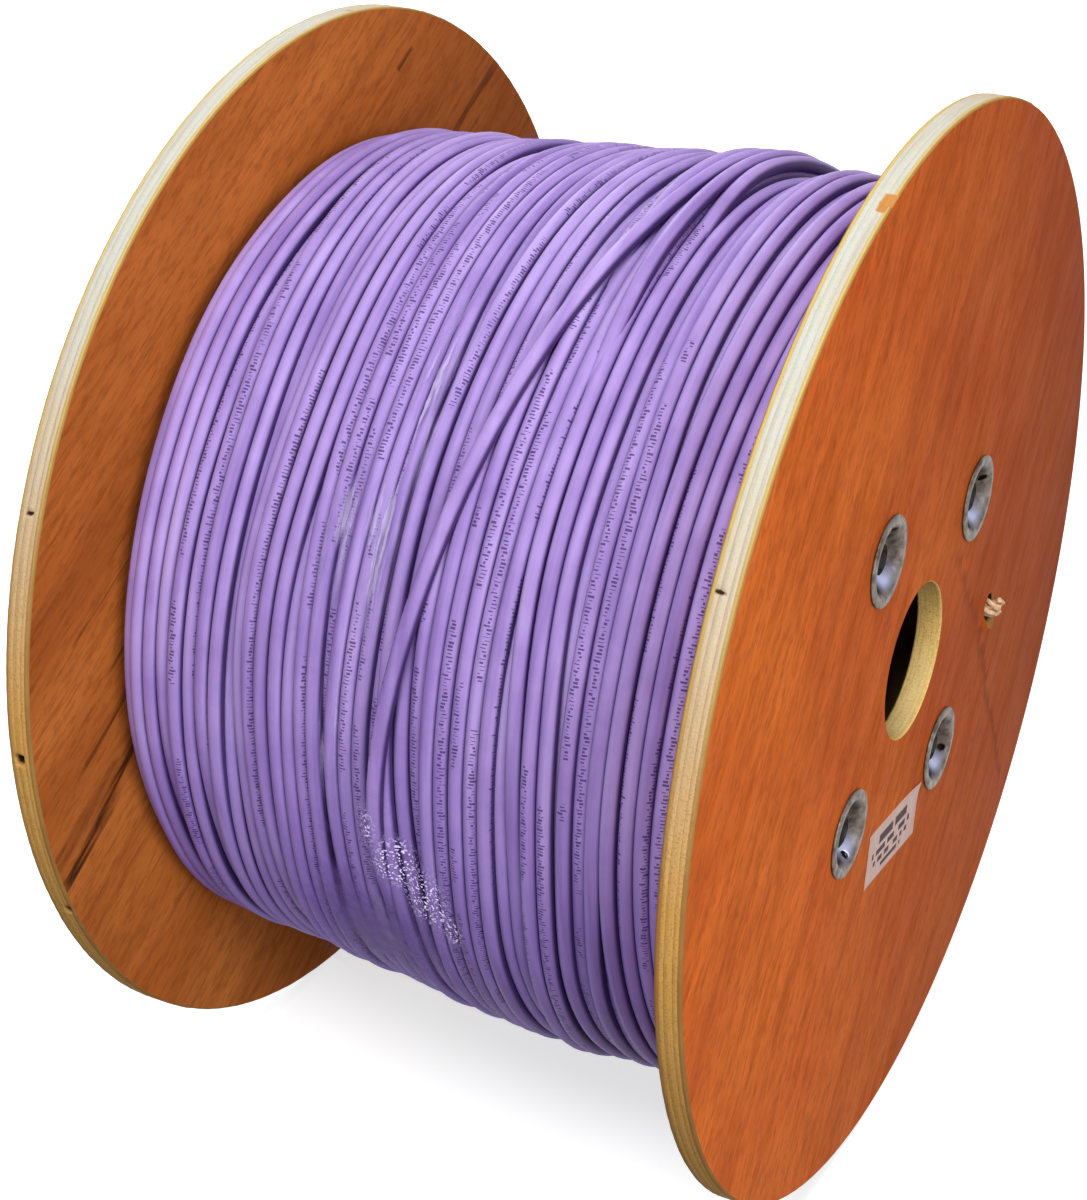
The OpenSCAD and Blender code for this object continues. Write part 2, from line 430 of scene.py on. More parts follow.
# Grain of sliced or rotary-cut wood, along X: long streaks, short dark pores and slow figure, each with its
# stretch, detail and roughness, and the part of the noise that is used
wood_noise = {
    "Streaks": ((9, 330, 330), 4.0, 0.62, 0.30, 0.70),
    "Pores": ((70, 1500, 1500), 1.0, 0.5, 0.60, 0.74),
    "Figure": ((5, 22, 22), 3.0, 0.55, 0.32, 0.68),
}
wood_grain, given, made = new_group("wood_grain", {"Vector": None, "Fineness": 1.0}, wood_noise)
inputs = {0: given.outputs["Vector"], "Scale": given.outputs["Fineness"]}
wood_place = add_node(wood_grain, "ShaderNodeVectorMath", inputs, operation="SCALE").outputs[0]
for result, (size, detail, rough, low, high) in wood_noise.items():
    clouds = stretched_noise(wood_grain, wood_place, size, detail, rough)
    feed(wood_grain, made.inputs[result], spread(wood_grain, clouds, low, high))


def grained(tree, place, fineness):
    """Streaks, pores and figure of the given fineness."""
    inputs = {"Vector": place, "Fineness": fineness}
    return add_node(tree, "ShaderNodeGroup", inputs, node_tree=wood_grain).outputs


def joined(tree, x, y, z):
    """A vector of three values."""
    return add_node(tree, "ShaderNodeCombineXYZ", {"X": x, "Y": y, "Z": z}).outputs[0]


def layered(tree, tone, layers):
    """A tone with other colours laid over it in turn, each given as (share, colour)."""
    for share, colour in layers:
        tone = blend_colour(tree, share, tone, colour)
    return tone


def line_mark(tree, place, start, end, half_wide, soft_noise):
    """A soft mark along a straight line in the plane of the face, from start to end, each (y, z)."""
    along = Vector(end) - Vector(start)
    length = along.length
    along.normalize()
    axes = split(tree, place)
    from_y = calc(tree, "SUBTRACT", axes["Y"], start[0])
    from_z = calc(tree, "SUBTRACT", axes["Z"], start[1])
    run = calc(tree, "ADD", times(tree, from_y, along.x), times(tree, from_z, along.y))
    off = calc(tree, "SUBTRACT", times(tree, from_y, -along.y), times(tree, from_z, -along.x))
    off = calc(tree, "ADD", off, spread(tree, soft_noise, 0, 1, -half_wide, half_wide))
    inside = times(tree, spread(tree, run, 0, 0.1 * length), spread(tree, run, length, 0.9 * length))
    return times(tree, spread(tree, calc(tree, "ABSOLUTE", off), half_wide, 0), inside)


streak_share, pore_share, patch_share, speck_share = 0.32, 0.30, 0.38, 0.36
patch_stretch = (0.6, 2.2, 1)
veneer_bump, mark_depth = 0.35, 1.5


def veneer(name, turn, stretch, fineness, tones, shade_along_y, marks):
    """Face veneer: tones are light, mid, dark and pore colours, turn the grain's angle in the face, stretch
    how much shorter its streaks are than long ones, fineness how narrow they are, the next one where along Y
    a painted shade darkens it and how much, and marks its seams."""
    light, mid, dark, pore = tones
    finish, tree = new_finish(name)
    place = object_place(tree)
    axes = split(tree, place)
    turned = mapped(tree, joined(tree, axes["Y"], axes["Z"], axes["X"]), Rotation=(0, 0, -turn))
    grain = grained(tree, mapped(tree, turned, Scale=(stretch, 1, 1)), fineness)
    patches = mottled(tree, mapped(tree, turned, Scale=patch_stretch), 14.0, 210.0)
    # The last layer is painted shade, darkening the face along Y towards its back edge.
    tone = layered(tree, blend_colour(tree, grain["Figure"], mid, light), (
        (times(tree, spread(tree, grain["Streaks"], 0.62, 0.05), streak_share), dark),
        (times(tree, grain["Pores"], pore_share), pore),
        (times(tree, patches["Patches"], patch_share), dark),
        (times(tree, spread(tree, patches["Specks"], 0.45, 1.0), speck_share), dark),
        (spread(tree, axes["Y"], shade_along_y[0], shade_along_y[1], 0.0, shade_along_y[2]), dark),
    ))
    height = calc(tree, "SUBTRACT", times(tree, grain["Streaks"], 0.5), times(tree, grain["Pores"], 0.6))
    for start, end, half_wide, strength in marks:
        mark = line_mark(tree, place, start, end, half_wide, grain["Streaks"])
        mark = times(tree, mark, strength)
        tone = blend_colour(tree, mark, tone, pore)
        height = calc(tree, "SUBTRACT", height, times(tree, mark, mark_depth))
    roughness = spread(tree, grain["Streaks"], 0, 1, 0.62, 0.48)
    set_surface(tree, tone, roughness, 0.02, Normal=bumped(tree, height, veneer_bump, 0.0003))
    return finish


near_tones = (
    (0.990, 0.232, 0.030, 1),
    (0.830, 0.152, 0.019, 1),
    (0.300, 0.048, 0.010, 1),
    (0.140, 0.022, 0.006, 1),
)
near_shade_along_y = (-0.08, 0.19, 0.85)
near_marks = (
    ((0.037, 0.026), (0.080, -0.035), 0.0034, 0.35),
    ((0.075, -0.028), (0.100, -0.074), 0.0034, 0.55),
    ((0.097, -0.069), (0.129, -0.123), 0.0026, 0.50),
)
near_veneer = veneer("near_veneer", math.radians(55), 6, 0.5, near_tones, near_shade_along_y, near_marks)
far_tones = (
    (0.770, 0.240, 0.050, 1),
    (0.595, 0.160, 0.028, 1),
    (0.220, 0.049, 0.011, 1),
    (0.060, 0.016, 0.006, 1),
)
far_shade_along_y = (0.0, 0.19, 0.5)
far_marks = (
    ((-0.1850, -0.0560), (-0.1310, -0.0165), 0.0036, 1.0),
    ((-0.1880, -0.0465), (-0.1450, -0.0205), 0.0042, 0.42),
    ((-0.170, -0.018), (-0.110, 0.016), 0.0016, 0.75),
    ((-0.150, 0.010), (-0.105, 0.036), 0.0011, 0.65),
    ((-0.166, 0.030), (-0.120, 0.052), 0.0012, 0.5),
    ((0.125, 0.144), (0.066, 0.114), 0.0018, 0.75),
    ((0.165, 0.103), (0.132, 0.087), 0.0024, 0.85),
    ((0.110, 0.126), (0.090, 0.116), 0.0012, 0.5),
    ((0.048, 0.160), (0.060, 0.166), 0.0024, 0.8),
)
far_veneer = veneer("far_veneer", math.radians(29), 1.5, 0.8, far_tones, far_shade_along_y, far_marks)


def mesh_value(tree, name):
    """A value that the mesh holds for each vertex."""
    return add_node(tree, "ShaderNodeAttribute", attribute_name=name).outputs["Fac"]


# The sawn edge: plies that cross each other, pale where one is cut along its grain and tan on its end grain
edge_pale = (0.53, 0.54, 0.49, 1)
edge_yellow = (0.56, 0.42, 0.14, 1)
edge_honey = (0.62, 0.33, 0.085, 1)
edge_tan = (0.32, 0.15, 0.042, 1)
edge_hollow_shade = (0.035, 0.016, 0.008, 1)
edge_orange = (0.50, 0.225, 0.060, 1)
bore_yellow = (1.0, 0.70, 0.24, 1)
bore_ring = (0.028, 0.030)
edge_pale_angle = math.radians(112)
glue_seen = (0.00022, 0.00006)
middle_plies = ((0.0013, 0.0019), (0.0079, 0.0073))
outer_plies = ((0.0007, 0.0004), (0.0083, 0.0086))
edge_finish, tree = new_finish("plywood_edge")
place = object_place(tree)
axes = split(tree, place)
angle = calc(tree, "ARCTAN2", axes["Z"], axes["Y"])
depth = calc(tree, "SUBTRACT", calc(tree, "ABSOLUTE", axes["X"]), wall_x)
cut = calc(tree, "COSINE", times(tree, calc(tree, "SUBTRACT", angle, edge_pale_angle), 2))
along_grain = spread(tree, cut, -0.6, 0.75)
grain = grained(tree, joined(tree, times(tree, angle, flange_r), depth, 0.0), 1.6)
patches = mottled(tree, place, 60.0, 1500.0)
middle_ply = times(tree, *(spread(tree, depth, *limits) for limits in middle_plies))
pale = blend_colour(tree, middle_ply, edge_yellow, edge_pale)
tan = blend_colour(tree, middle_ply, edge_tan, edge_honey)
outermost = calc(tree, "MAXIMUM", *(spread(tree, depth, *limits) for limits in outer_plies))
from_axle = joined(tree, axes["Y"], axes["Z"], 0.0)
from_axle = add_node(tree, "ShaderNodeVectorMath", {0: from_axle}, operation="LENGTH").outputs["Value"]
in_bore = spread(tree, from_axle, *reversed(bore_ring))
end_fleck = spread(tree, along_grain, 0.6, 0.1, 0.12, 0.5)
fleck_share = calc(tree, "MAXIMUM", spread(tree, in_bore, 0, 1, 0.12, 0.3), end_fleck)
layers = [
    (times(tree, outermost, 0.8), edge_tan),
    (times(tree, in_bore, 0.8), bore_yellow),
    (times(tree, spread(tree, grain["Streaks"], 0.55, 0.0), 0.25), edge_tan),
    (times(tree, patches["Patches"], 0.18), edge_yellow),
    (times(tree, spread(tree, patches["Specks"], 0.55, 0.95), fleck_share), edge_tan),
]
for line in glue_lines:
    off_line = calc(tree, "ABSOLUTE", calc(tree, "SUBTRACT", depth, line))
    layers.append((times(tree, spread(tree, off_line, *glue_seen), 0.22), edge_tan))
# Painted shade darkens the gaps in the plies and the walls of the seats and the start hole; torn wood is
# orange.
shade_and_tear = mesh_value(tree, "shade_and_tear")
layers.append((spread(tree, shade_and_tear, -0.1, -0.5), edge_orange))
layers.append((spread(tree, shade_and_tear, 0.15, 0.6), edge_hollow_shade))
tone = layered(tree, blend_colour(tree, along_grain, tan, pale), layers)
height = calc(tree, "ADD", grain["Streaks"], times(tree, patches["Specks"], 0.5))
set_surface(tree, tone, 0.72, 0.06, Normal=bumped(tree, height, 0.4, 0.0003))

near_bm = build_flange([bore, *seats, start_hole], near_gaps, near_chips, start_torn, 1)
near_disc = add_piece("near_flange_disc", near_bm, near_veneer, edge_finish)
far_bm = build_flange([bore, *seats], far_gaps, (), 0.0, -1)
far_disc = add_piece("far_flange_disc", far_bm, far_veneer, edge_finish)
for disc, node in ((near_disc, "near_flange"), (far_disc, "far_flange")):
    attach(disc, "root")
    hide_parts(node)


# Tie rods and nuts: zinc plated steel. Four threaded rods inside the core pull the flanges together.
# A thin hexagon nut on each end sits in the dish of its washer.
zinc_shade_grime = (0.012, 0.010, 0.009, 1)
zinc_highlight_blue = (0.50, 0.53, 0.78, 1)


def zinc(name, light, dull, bright):
    """Plated steel with a light and a dull tone, bright being how metallic it is. Two values of the mesh
    paint it: one blackens it with painted shade and grime, the other gives it a painted bluish highlight."""
    finish, tree = new_finish(name)
    patches = mottled(tree, object_place(tree), 260.0, 2600.0)
    shade_and_grime = times(tree, spread(tree, patches["Specks"], 0, 1, 0.8, 1), mesh_value(tree, "shade_and_grime"))
    tone = blend_colour(tree, patches["Patches"], light, dull)
    tone = layered(tree, tone, ((mesh_value(tree, "painted_highlight"), zinc_highlight_blue), (shade_and_grime, zinc_shade_grime)))
    roughness = spread(tree, patches["Patches"], 0, 1, 0.26, 0.42)
    metallic = spread(tree, shade_and_grime, 0, 0.6, bright, 0)
    relief = bumped(tree, patches["Specks"], 0.15, 0.0002)
    set_surface(tree, tone, roughness, 0.0, Metallic=metallic, Normal=relief)
    return finish


rod_finish = zinc("zinc_rod", (0.075, 0.072, 0.075, 1), (0.020, 0.018, 0.017, 1), 0.1)
# The nut is given a near-black tone as painted shade, for the dark deep in the dish round it.
nut_finish = zinc("zinc_nut", (0.040, 0.036, 0.036, 1), (0.012, 0.010, 0.009, 1), 0.1)
for i in (1, 2, 3, 4):
    plated = {f"tie_rod_{i}": rod_finish, f"near_nut_{i}": nut_finish, f"far_nut_{i}": nut_finish}
    for node, finish in plated.items():
        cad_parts[node].data.materials.clear()
        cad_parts[node].data.materials.append(finish)


# Washers: dished discs pressed from thin plated sheet, with a raised rolled rim and two nail holes.
# The nut pulls the dish into its seat in the plywood, and the rim lies on the face.
washer_r = 0.0155
washer_t = 0.0012
dish_floor_r, dish_mouth_r, dish_depth = 0.0062, 0.0128, 0.005
dish_points = 18
roll_bends = (0.25 * math.pi, 0.5 * math.pi, 0.75 * math.pi, math.pi)
nail_r = 0.00125
nail_circle_r = 0.0102
washer_segments = 96
washer_step = math.radians(50)
washer_finish = zinc("zinc_washer", (0.250, 0.212, 0.184, 1), (0.075, 0.056, 0.045, 1), 0.7)
# Painted shade and grime in the dish: depth where it starts and is full, its share, less on the back wall
dish_shade_start, dish_shade_full = 0.0010, 0.0012
dish_shade_share = 0.97
back_wall_less_shade = 0.6
# Painted contact shadow on the rim's outer edge
rim_contact_shadow = 0.8
# Painted highlight: a bluish patch at the dish's foot, its angle and half width round the rod
highlight_angle, highlight_half = math.radians(-72), math.radians(27)
same_point = 1e-6


def dish_height(radius):
    """Height of the washer's upper side above the flange's face."""
    share = min(1.0, max(0.0, (radius - dish_floor_r) / (dish_mouth_r - dish_floor_r)))
    return -dish_depth + (washer_t + dish_depth) * share * share * (3 - 2 * share)


def turned_ring(outline, segments):
    """A closed ring: an outline of (place, radius) points, turned about the X axis."""
    bm = bmesh.new()
    verts = [bm.verts.new((place, radius, 0)) for place, radius in outline]
    edges = [bm.edges.new(pair) for pair in zip(verts, verts[1:] + verts[:1])]
    bmesh.ops.spin(bm, geom=verts + edges, cent=(0, 0, 0), axis=(1, 0, 0), angle=2 * math.pi,
                   steps=segments, use_merge=True)
    bmesh.ops.remove_doubles(bm, verts=bm.verts, dist=same_point)
    return bm


def build_washer(angle, turn, side):
    """One washer on the tie rod at the given angle, turned about it. Its dish is painted dark with shade
    and grime, less on its back wall, with a painted bluish highlight at its foot, and the rim's outer
    edge has a painted contact shadow."""
    radii = [rod_hole_r + (dish_mouth_r - rod_hole_r) * i / dish_points for i in range(dish_points + 1)]
    upper = [(dish_height(radius), radius) for radius in radii]
    roll = [(washer_t * (0.5 + 0.5 * math.cos(bend)), washer_r - washer_t * (0.5 - 0.5 * math.sin(bend)))
            for bend in roll_bends]
    lower = [(place - washer_t, radius) for place, radius in reversed(upper)]
    bm = turned_ring(upper + roll + lower, washer_segments)
    shade_and_grime = bm.verts.layers.float.new("shade_and_grime")
    painted_highlight = bm.verts.layers.float.new("painted_highlight")
    for place in (-nail_circle_r, nail_circle_r):
        nail = Vector((place, 0))
        inside = [face for face in bm.faces if (face.calc_center_median().yz - nail).length < nail_r]
        bmesh.ops.delete(bm, geom=inside, context="FACES")
        brink = [edge for edge in bm.edges if edge.is_boundary]
        for vert in {vert for edge in brink for vert in edge.verts}:
            vert.co.yz = nail + (vert.co.yz - nail).normalized() * nail_r
        bmesh.ops.bridge_loops(bm, edges=brink)
    bmesh.ops.recalc_face_normals(bm, faces=bm.faces)
    for face in bm.faces:
        face.smooth = True
    place = Matrix.Translation((face_x, rod_circle_r * math.cos(angle), rod_circle_r * math.sin(angle)))
    bmesh.ops.transform(bm, matrix=place @ Matrix.Rotation(turn, 4, "X"), verts=bm.verts)
    for vert in bm.verts:
        deep = min(1.0, max(0.0, (face_x + dish_shade_start - vert.co.x) / (dish_shade_start + dish_shade_full)))
        out = (vert.co - place.translation).yz
        on_edge = out.length > dish_mouth_r + washer_t / 2 and vert.co.x < face_x + washer_t / 3
        out.normalize()
        from_foot = math.remainder(math.atan2(out.y, out.x) - highlight_angle, 2 * math.pi) / highlight_half
        vert[painted_highlight] = deep * math.exp(-from_foot ** 2)
        vert[shade_and_grime] = dish_shade_share * deep * (1 - back_wall_less_shade * max(0.0, out.x)) * (1 - vert[painted_highlight])
        if on_edge:
            vert[shade_and_grime], vert[painted_highlight] = rim_contact_shadow, 0.0
    mirror_to(bm, side)
    return bm


for i, angle in enumerate(rod_angles, 1):
    for side_name, side in (("near", 1), ("far", -1)):
        washer_bm = build_washer(angle, washer_step * i, side)
        washer = add_piece(f"{side_name}_dished_washer_{i}", washer_bm, washer_finish)
        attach(washer, "root")
        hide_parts(f"{side_name}_washer_{i}")


# Winding: some 300 metres of violet data cable, laid in layers under light pull, in one long helix.
# Its turns lie side by side. Here and there one sinks between its neighbours, or a last one rides over them.
cable_d = 0.0055
touch = 0.985 * cable_d
steps = 144
turns = 44
tube_sides = 12
lane_end = wall_x - cable_d / 2
wound_profile = ((-0.1085, -0.0975, 0.042, 0.1085), (0.1415, 0.1485, 0.1595, 0.1555))
wound_sway, sway_across, sway_round = 0.0007, 22, 2.5
# Wanders of the turns' height, the room between them and where they lie lower: reach in steps, and size
height_wander, room_wander, recess_wander = (26, 0.0004), (20, 0.0004), (24, 1.0)
recess_from, recess_over, recess_depth = 0.5, 0.9, 0.5 * touch
sink_depth = 0.85 * touch
sink_ramp = 34
# In each band one turn is always sunk: the angles in degrees where another takes over, and its number
bands = (
    ((20, 3), (118, 6), (205, 2), (300, 5)),
    ((60, 14), (140, 10), (228, 13), (320, 11)),
    ((30, 18), (108, 23), (176, 20), (270, 24)),
    ((75, 30), (150, 27), (215, 32), (310, 28)),
    ((40, 39), (128, 35), (192, 40), (285, 36)),
)
# Under the turns that ride on top, the layer is a little hollow
hollow_degrees, hollow_ramp = (5, 150), 25
hollow_turns, hollow_turn_ramp = (8, 18), 2
hollow_depth = 0.0024


def bell(reach):
    """Weights of a smoothing bell, reach steps to a side."""
    weights = np.exp(-0.5 * (np.arange(-3 * reach, 3 * reach + 1) / reach) ** 2)
    return weights / weights.sum()


def smooth(values, reach):
    """Values along a strand, smoothed over some steps, with the ends kept."""
    padded = np.pad(values, 3 * reach, mode="edge")
    return np.convolve(padded, bell(reach), "valid")


def wander(count, reach, size, seed):
    """A smooth random wander, of the given size and changing over about reach steps."""
    draws = np.random.default_rng(seed).standard_normal(count + 6 * reach)
    weights = bell(reach)
    return size * np.convolve(draws, weights / np.sqrt((weights ** 2).sum()), "valid")


def ease(share):
    """A share of 0 to 1 that starts and ends gently."""
    share = np.clip(share, 0, 1)
    return share * share * (3 - 2 * share)


def depth_in(values, low, high):
    """How far values lie inside a range, from its nearer end, and below 0 outside it."""
    return np.minimum(values - low, high - values)


def wound_radius(place, angle):
    """Radius of the middle of a turn of the outer layer, where the layer is even."""
    points = zip(sway_across * place, sway_round * np.cos(angle), sway_round * np.sin(angle))
    sway = np.array([noise.noise(point) for point in points])
    return np.interp(place, *wound_profile) - cable_d / 2 + wound_sway * sway


count = turns * steps
degrees = np.arange(count) * 360 / steps
height = wander(count, *height_wander, 1)
height -= recess_depth * ease((wander(count, *recess_wander, 3) - recess_from) / recess_over)
for band in bands:
    for (start, turn), (end, _) in zip(band, band[1:] + band[:1]):
        first = 360 * turn + start
        last = 360 * turn + (end if end > start else end + 360)
        inside = depth_in(degrees, first, last) + sink_ramp
        height -= sink_depth * ease(inside / (2 * sink_ramp))
height = height.reshape(turns, steps)
into = depth_in(degrees[:steps], *hollow_degrees) / hollow_ramp
across = depth_in(np.arange(turns), *hollow_turns) / hollow_turn_ramp
height -= hollow_depth * ease(across)[:, None] * ease(into)[None, :]
apart = np.sqrt(np.maximum(touch ** 2 - np.diff(height, axis=0) ** 2, (0.5 * touch) ** 2))
apart += np.maximum(wander(count, *room_wander, 2), 0).reshape(turns, steps)[1:]
share = np.arange(steps) / steps
first_lane = share * apart[0, 0]
lanes = first_lane + np.vstack([np.zeros(steps), np.cumsum(apart, axis=0)])
lanes *= 2 * lane_end / (lanes[-1] + (1 - share) * touch)
outer_place = smooth((lane_end - lanes).ravel(), 2)
outer_radius = wound_radius(outer_place, np.radians(degrees)) + height.ravel()


def build_strand(place, radius, first_step):
    """A tube along a strand: a grid rolled round it. Its UV map holds metres along and turns round it."""
    count = len(place)
    bm = bmesh.new()
    along = bm.loops.layers.uv.new("along")
    bmesh.ops.create_grid(bm, x_segments=count - 1, y_segments=tube_sides, size=1.0, calc_uvs=True)
    angle = (np.arange(count) + first_step) * 2 * math.pi / steps
    middle = np.stack([place, radius * np.cos(angle), radius * np.sin(angle)], 1)
    run = np.gradient(middle, axis=0)
    metres = np.concatenate([[0], np.cumsum(np.linalg.norm(np.diff(middle, axis=0), axis=1))])
    outward = np.stack([np.zeros(count), np.cos(angle), np.sin(angle)], 1)
    across = np.cross(run, outward)
    across /= np.linalg.norm(across, axis=1)[:, None]
    outward = np.cross(across, run)
    outward /= np.linalg.norm(outward, axis=1)[:, None]
    for face in bm.faces:
        face.smooth = True
        for corner in face.loops:
            step = round((corner.vert.co.x + 1) / 2 * (count - 1))
            corner[along].uv = (metres[step], (corner.vert.co.y + 1) / 2)
    for vert in bm.verts:
        step = round((vert.co.x + 1) / 2 * (count - 1))
        turn = math.pi * (vert.co.y + 1)
        spoke = math.cos(turn) * outward[step] + math.sin(turn) * across[step]
        vert.co = middle[step] + cable_d / 2 * spoke
    bmesh.ops.remove_doubles(bm, verts=bm.verts, dist=same_point)
    bmesh.ops.holes_fill(bm, edges=[edge for edge in bm.edges if edge.is_boundary], sides=0)
    bmesh.ops.recalc_face_normals(bm, faces=bm.faces)
    return bm


def draw_for(tree, metres, pitch, offset):
    """A random number for each pitch of a length."""
    cell = calc(tree, "FLOOR", calc(tree, "DIVIDE", metres, pitch))
    seed = {"W": calc(tree, "ADD", cell, offset)}
    return add_node(tree, "ShaderNodeTexWhiteNoise", seed, noise_dimensions="1D").outputs[0]


# Violet sheath with a plain row of dark printed marks, which turns slowly with the cable
sheath_light = (0.376, 0.262, 0.600, 1)
sheath_mid = (0.302, 0.200, 0.508, 1)
sheath_deep = (0.205, 0.122, 0.385, 1)
sheath_pale = (0.470, 0.350, 0.690, 1)
sheath_shaded_tone = (0.290, 0.168, 0.640, 1)
shade_from_z, shade_full_z, lower_shade_share = 0.03, -0.12, 0.95
groove_shade_tone = (0.040, 0.016, 0.110, 1)
groove_shade_start, groove_shade_full = 0.130, 0.200
print_tone = (0.035, 0.016, 0.085, 1)
print_high = 0.16
print_pitch, print_word, print_run = 0.0011, 0.014, 0.16
word_gaps, run_gaps = 0.16, 0.36
print_drift, print_sway = 1.1, 1.7
sheath_finish, tree = new_finish("violet_sheath")
axes = split(tree, add_node(tree, "ShaderNodeUVMap", uv_map="along").outputs[0])
metres, round_cable = axes["X"], axes["Y"]
inputs = {"W": times(tree, metres, print_drift), "Scale": 1.0, "Detail": 1.0}
drift = add_node(tree, "ShaderNodeTexNoise", inputs, noise_dimensions="1D").outputs[0]
off = calc(tree, "SUBTRACT", round_cable, times(tree, calc(tree, "SUBTRACT", drift, 0.5), print_sway))
off = calc(tree, "DIVIDE", calc(tree, "WRAP", off, 0.5, -0.5), print_high)
within = calc(tree, "FRACT", calc(tree, "DIVIDE", metres, print_pitch))
half_wide = spread(tree, draw_for(tree, metres, print_pitch, 0.37), 0.1, 1, 0.10, 0.36)
shift = spread(tree, draw_for(tree, metres, print_pitch, 0.61), 0, 1, -0.22, 0.22)
half_high = spread(tree, draw_for(tree, metres, print_pitch, 0.29), 0, 1, 0.12, 0.40)
bar = calc(tree, "COMPARE", within, 0.5, half_wide)
tall = calc(tree, "COMPARE", off, shift, half_high)
word = calc(tree, "GREATER_THAN", draw_for(tree, metres, print_word, 0.13), word_gaps)
run = calc(tree, "GREATER_THAN", draw_for(tree, metres, print_run, 0.71), run_gaps)
printed = times(tree, times(tree, bar, tall), times(tree, word, run))
place = object_place(tree)
patches = mottled(tree, place, 55.0, 1800.0)
uneven = stretched_noise(tree, place, (190, 9, 9), 2.0, 0.6)
# Painted shade: the sheath is painted deeper towards the bottom of the winding, where its pale streaks fade
# out.
low = spread(tree, split(tree, place)["Z"], shade_from_z, shade_full_z, 0, lower_shade_share)
pale_streaks = times(tree, spread(tree, uneven, 0.48, 0.30, 0.0, 0.6), spread(tree, low, 0, lower_shade_share, 1, 0.2))
# Painted shade: each turn is painted dark along its sides, where it meets its neighbours, as shade in the
# grooves.
side = calc(tree, "ABSOLUTE", calc(tree, "WRAP", round_cable, 0.5, -0.5))
tone = layered(tree, blend_colour(tree, patches["Patches"], sheath_mid, sheath_light), (
    (low, sheath_shaded_tone),
    (spread(tree, uneven, 0.50, 0.72, 0.0, 0.7), sheath_deep),
    (pale_streaks, sheath_pale),
    (times(tree, printed, 0.8), print_tone),
    (times(tree, spread(tree, side, groove_shade_start, groove_shade_full), 0.9), groove_shade_tone),
))
roughness = spread(tree, patches["Specks"], 0, 1, 0.42, 0.52)
set_surface(tree, tone, roughness, 0.09, Normal=bumped(tree, patches["Specks"], 0.08, 0.0002))

# Turns that ride over the outer layer, each as angles in degrees and places along the axis. Their ends sink
# into it. The first is the cable's end, which runs slantwise to the film and under it
riders = (
    ((25, 0.0400), (60, 0.0380), (87, 0.0360), (95, 0.0348), (110, 0.0290), (130, 0.0190), (150, 0.0095),
     (166, 0.0015), (177, -0.0014), (200, -0.0040), (216, -0.0060)),
    ((20, 0.0350), (60, 0.0325), (90, 0.0305), (125, 0.0285)),
    ((30, 0.0465), (70, 0.0440), (100, 0.0415), (140, 0.0400)),
    ((10, 0.0540), (55, 0.0500), (90, 0.0475), (118, 0.0465)),
    ((250, -0.0300), (280, -0.0360), (315, -0.0520), (345, -0.0580)),
    ((285, 0.0760), (310, 0.0720), (340, 0.0590), (375, 0.0560)),
)
rider_bed = 0.0010
rider_dive = 34
dive_depth = 1.6 * cable_d
turns_place = outer_place.reshape(turns, steps)
turns_radius = outer_radius.reshape(turns, steps)
rider_paths = []
for points in riders:
    rider_steps = np.arange(points[0][0] * steps // 360, points[-1][0] * steps // 360 + 1)
    rider_degrees = rider_steps * 360 / steps
    place = smooth(np.interp(rider_degrees, *zip(*points)), 3)
    columns = rider_steps % steps
    apart = np.abs(place - turns_place[:, columns])
    lift = turns_radius[:, columns] + np.sqrt(np.maximum(touch ** 2 - apart ** 2, 0))
    radius = np.where(apart < touch, lift, 0).max(axis=0)
    radius = smooth(np.maximum(radius, smooth(radius, 4)), 2)
    ends = depth_in(rider_degrees, rider_degrees[0], rider_degrees[-1])
    rider_paths.append((rider_steps, place, radius - rider_bed - dive_depth * ease(1 - ends / rider_dive)))

# The layers under the outer one, as one bed
bed_gap, bed_points = 0.0036, 24
bed_place = np.linspace(-wall_x, wall_x, bed_points)
bed_radius = np.interp(bed_place, *wound_profile) - cable_d / 2 - bed_gap
core_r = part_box("core_tube")[1].z
bm = turned_ring([(-wall_x, core_r), *zip(bed_place, bed_radius), (wall_x, core_r)], steps)
bmesh.ops.recalc_face_normals(bm, faces=bm.faces)
bm.loops.layers.uv.new("along")
inner_layers = add_piece("inner_layers", bm, sheath_finish)
outer_layer = add_piece("outer_layer", build_strand(outer_place, outer_radius, 0), sheath_finish)
wound = [inner_layers, outer_layer]
for i, (rider_steps, place, radius) in enumerate(rider_paths, 1):
    rider_bm = build_strand(place, radius, int(rider_steps[0]))
    wound.append(add_piece(f"top_turn_{i}", rider_bm, sheath_finish))
for layer in wound:
    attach(layer, "root")
    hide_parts("cable_winding")


# Film: clear stretch film wound round the middle of the cable to hold its end.
# It lies tight on the strands, hardly seen but for milky patches and painted glints on crinkles and streaks.
film_low, film_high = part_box("film_band")
film_round, film_rows = 5 * steps, 66
film_lift = 0.0002
crinkle_height, crinkle_least, crinkle_fine = 0.0006, 0.12, 420
# Crinkled, painted-sheen and milky places: angle in degrees, place along the axis, half sizes of both,
# strength
crinkled = (
    (183, -0.004, 4, 0.006, 0.8),
    (188, 0.005, 5, 0.009, 1.0),
    (193, 0.014, 6, 0.010, 1.0),
    (197, 0.021, 4, 0.005, 0.9),
    (325, 0.006, 10, 0.012, 0.6),
    (262, -0.02, 8, 0.014, 0.5),
)
sheen_places = (
    (132, -0.008, 14, 0.009, 1.0),
    (150, -0.011, 12, 0.008, 1.0),
    (150, -0.025, 9, 0.007, 0.9),
    (174, -0.019, 9, 0.008, 0.7),
    (30, -0.015, 12, 0.014, 0.7),
    (300, 0.004, 14, 0.010, 0.6),
)
milky = (
    (204, -0.014, 10, 0.026, 0.9),
    (345, -0.008, 14, 0.024, 0.4),
    (48, 0.012, 9, 0.014, 0.3),
)
film_x = np.linspace(film_low.x, film_high.x, film_rows + 1)
fine_step = np.arange(film_round) * steps / film_round
